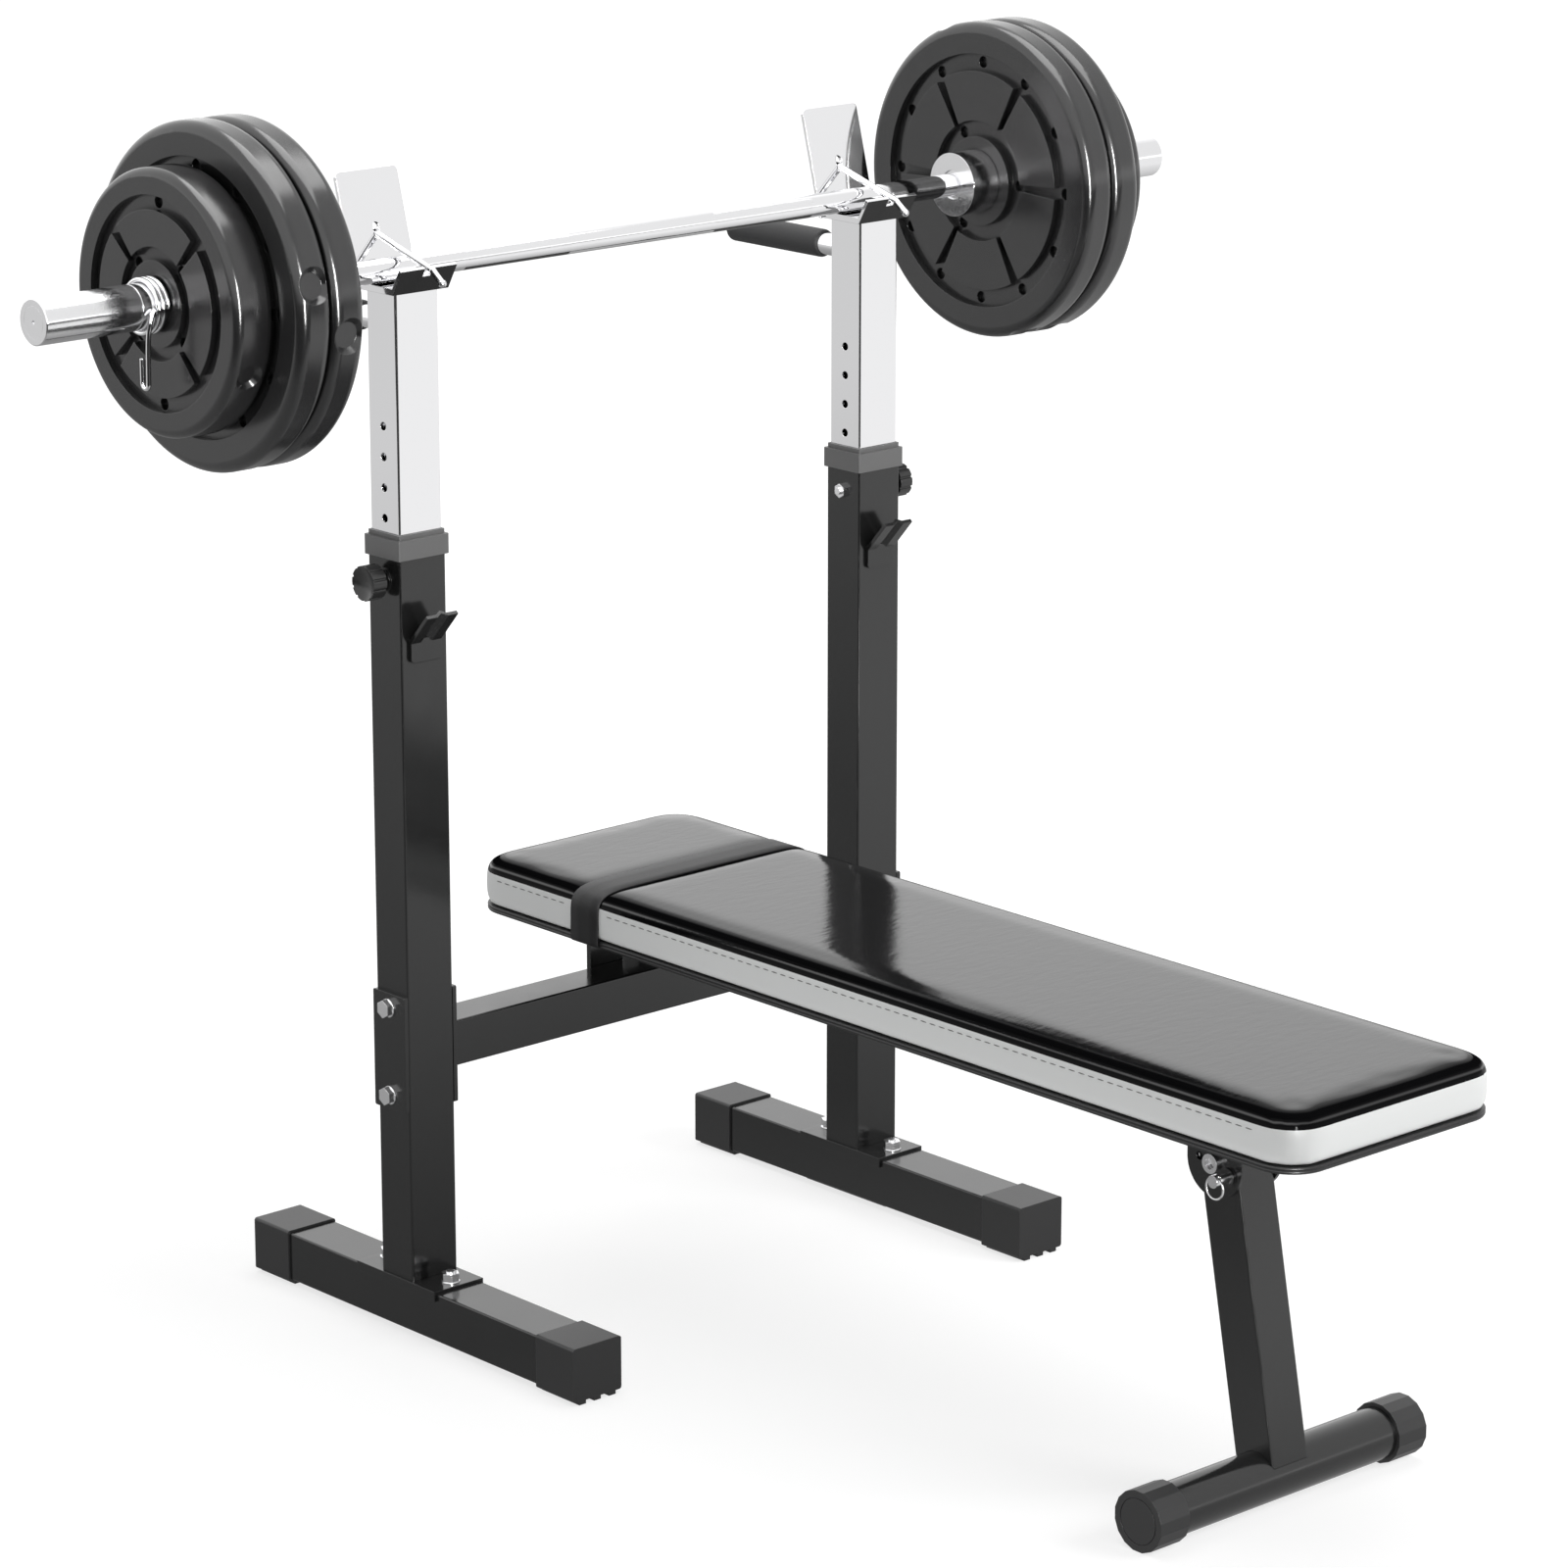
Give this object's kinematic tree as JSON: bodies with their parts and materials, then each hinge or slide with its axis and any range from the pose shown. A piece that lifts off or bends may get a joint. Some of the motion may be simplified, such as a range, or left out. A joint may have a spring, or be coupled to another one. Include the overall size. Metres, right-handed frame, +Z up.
{
  "type": "weight bench with bar stand and barbell",
  "caption": "Flat padded weight bench hinged to a height-adjustable bar stand with cradles, lower hooks and dip handles, carrying a loaded barbell.",
  "frame": {"origin": "on the floor, under the middle of the whole object's box", "axes": "+X along the bar, +Y from the foot end of the bench to the stand, +Z up"},
  "size_m": [1.534, 1.342, 1.3158],
  "materials": {
    "black_paint": "gloss black powder coat",
    "black_plastic": "matte black moulded plastic",
    "grey_plastic": "dark grey moulded plastic",
    "zinc": "bright zinc plating",
    "chrome": "polished chrome",
    "foam": "matte black foam",
    "plate_rubber": "semi-gloss black rubber",
    "board": "board wrapped in black vinyl",
    "pad_cover": "black vinyl with a light grey side band",
    "strap": "black elastic band"
  },
  "bodies": {
    "stand": {"left_foot_tube": "black_paint", "right_foot_tube": "black_paint", "foot_caps": "black_plastic", "left_saddle": "black_paint", "right_saddle": "black_paint", "clamp_plates": "black_paint", "foot_bolts": "zinc", "left_upright": "black_paint", "right_upright": "black_paint", "left_collar": "grey_plastic", "right_collar": "grey_plastic", "guide_screws": "zinc", "left_hook": "black_paint", "right_hook": "black_paint", "cross_tube": "black_paint", "flange_plates": "black_paint", "flange_bolts": "zinc", "hinge_bolt": "zinc"},
    "left_riser": {"left_post": "chrome", "left_cradle": "chrome", "left_dip_bar": "chrome", "left_grip": "foam"},
    "right_riser": {"right_post": "chrome", "right_cradle": "chrome", "right_dip_bar": "chrome", "right_grip": "foam"},
    "left_latch_arm": {"left_latch": "chrome"},
    "right_latch_arm": {"right_latch": "chrome"},
    "left_height_lock": {"left_pin": "zinc", "left_knob": "black_plastic"},
    "right_height_lock": {"right_pin": "zinc", "right_knob": "black_plastic"},
    "bar": {"bar_shaft": "chrome", "shaft_rings": "zinc"},
    "left_sleeve_set": {"left_sleeve": "chrome", "left_bushes": "zinc", "left_sleeve_cap": "chrome"},
    "right_sleeve_set": {"right_sleeve": "chrome", "right_bushes": "zinc", "right_sleeve_cap": "chrome"},
    "left_inner_weight": {"left_inner_plate": "plate_rubber"},
    "left_outer_weight": {"left_outer_plate": "plate_rubber"},
    "left_small_weight": {"left_small_plate": "plate_rubber"},
    "left_spring_clip": {"left_clip": "chrome"},
    "right_inner_weight": {"right_inner_plate": "plate_rubber"},
    "right_outer_weight": {"right_outer_plate": "plate_rubber"},
    "right_small_weight": {"right_small_plate": "plate_rubber"},
    "right_spring_clip": {"right_clip": "chrome"},
    "bench": {"bench_rail": "black_paint", "pad_board": "board", "pad_cushion": "pad_cover", "pad_strap": "strap", "pad_screws": "zinc", "leg_bracket": "black_paint", "leg_pivot_bolt": "zinc"},
    "leg": {"leg_tube": "black_paint", "leg_foot": "black_paint", "leg_foot_caps": "black_plastic"},
    "leg_lock": {"leg_pin": "zinc", "leg_pin_ring": "zinc"}
  },
  "joints": [
    {"name": "left_post_slide", "type": "slide", "parent": "stand", "child": "left_riser", "axis": [0, 0, 1], "range_m": [-0.128, 0.064]},
    {"name": "right_post_slide", "type": "slide", "parent": "stand", "child": "right_riser", "axis": [0, 0, 1], "range_m": [-0.128, 0.064]},
    {"name": "left_height_pin_slide", "type": "slide", "parent": "stand", "child": "left_height_lock", "axis": [1, 0, 0], "range_m": [0, 0.007]},
    {"name": "right_height_pin_slide", "type": "slide", "parent": "stand", "child": "right_height_lock", "axis": [-1, 0, 0], "range_m": [0, 0.007]},
    {"name": "bar_lift", "type": "slide", "parent": "left_riser", "child": "bar", "axis": [0, 0, 1], "range_m": [0, 0.045]},
    {"name": "left_latch_swing", "type": "hinge", "parent": "left_riser", "child": "left_latch_arm", "pos_m": [-0.32, 0.4691, 1.174], "axis": [-1, 0, 0], "range_deg": [0, 60]},
    {"name": "right_latch_swing", "type": "hinge", "parent": "right_riser", "child": "right_latch_arm", "pos_m": [0.32, 0.4691, 1.174], "axis": [-1, 0, 0], "range_deg": [0, 60]},
    {"name": "left_sleeve_spin", "type": "hinge", "parent": "bar", "child": "left_sleeve_set", "pos_m": [-0.6, 0.428, 1.1408], "axis": [-1, 0, 0], "continuous": true},
    {"name": "left_plate_slide", "type": "slide", "parent": "left_sleeve_set", "child": "left_outer_weight", "axis": [-1, 0, 0], "range_m": [0, 0.05]},
    {"name": "left_inner_plate_slide", "type": "slide", "parent": "left_sleeve_set", "child": "left_inner_weight", "axis": [-1, 0, 0], "range_m": [0, 0.025]},
    {"name": "left_small_plate_slide", "type": "slide", "parent": "left_sleeve_set", "child": "left_small_weight", "axis": [-1, 0, 0], "range_m": [0, 0.075]},
    {"name": "left_clip_slide", "type": "slide", "parent": "left_sleeve_set", "child": "left_spring_clip", "axis": [-1, 0, 0], "range_m": [0, 0.1]},
    {"name": "right_sleeve_spin", "type": "hinge", "parent": "bar", "child": "right_sleeve_set", "pos_m": [0.6, 0.428, 1.1408], "axis": [1, 0, 0], "continuous": true},
    {"name": "right_plate_slide", "type": "slide", "parent": "right_sleeve_set", "child": "right_outer_weight", "axis": [1, 0, 0], "range_m": [0, 0.05]},
    {"name": "right_inner_plate_slide", "type": "slide", "parent": "right_sleeve_set", "child": "right_inner_weight", "axis": [1, 0, 0], "range_m": [0, 0.025]},
    {"name": "right_small_plate_slide", "type": "slide", "parent": "right_sleeve_set", "child": "right_small_weight", "axis": [1, 0, 0], "range_m": [0, 0.075]},
    {"name": "right_clip_slide", "type": "slide", "parent": "right_sleeve_set", "child": "right_spring_clip", "axis": [1, 0, 0], "range_m": [0, 0.1]},
    {"name": "bench_fold", "type": "hinge", "parent": "stand", "child": "bench", "pos_m": [0, 0.464, 0.372], "axis": [-1, 0, 0], "range_deg": [0, 70]},
    {"name": "leg_fold", "type": "hinge", "parent": "bench", "child": "leg", "pos_m": [0, -0.46, 0.343], "axis": [1, 0, 0], "range_deg": [0, 100]},
    {"name": "leg_pin_slide", "type": "slide", "parent": "bench", "child": "leg_lock", "axis": [1, 0, 0], "range_m": [0, 0.012]}
  ],
  "couplings": [
    {"joint": "right_post_slide", "follows": "left_post_slide", "ratio": 1},
    {"joint": "left_latch_swing", "follows": "bar_lift", "rad_per_m": 23.213},
    {"joint": "right_latch_swing", "follows": "bar_lift", "rad_per_m": 23.213},
    {"joint": "left_inner_plate_slide", "follows": "left_plate_slide", "ratio": 0.5},
    {"joint": "left_small_plate_slide", "follows": "left_plate_slide", "ratio": 1.5},
    {"joint": "left_clip_slide", "follows": "left_plate_slide", "ratio": 2},
    {"joint": "right_inner_plate_slide", "follows": "right_plate_slide", "ratio": 0.5},
    {"joint": "right_small_plate_slide", "follows": "right_plate_slide", "ratio": 1.5},
    {"joint": "right_clip_slide", "follows": "right_plate_slide", "ratio": 2}
  ]
}
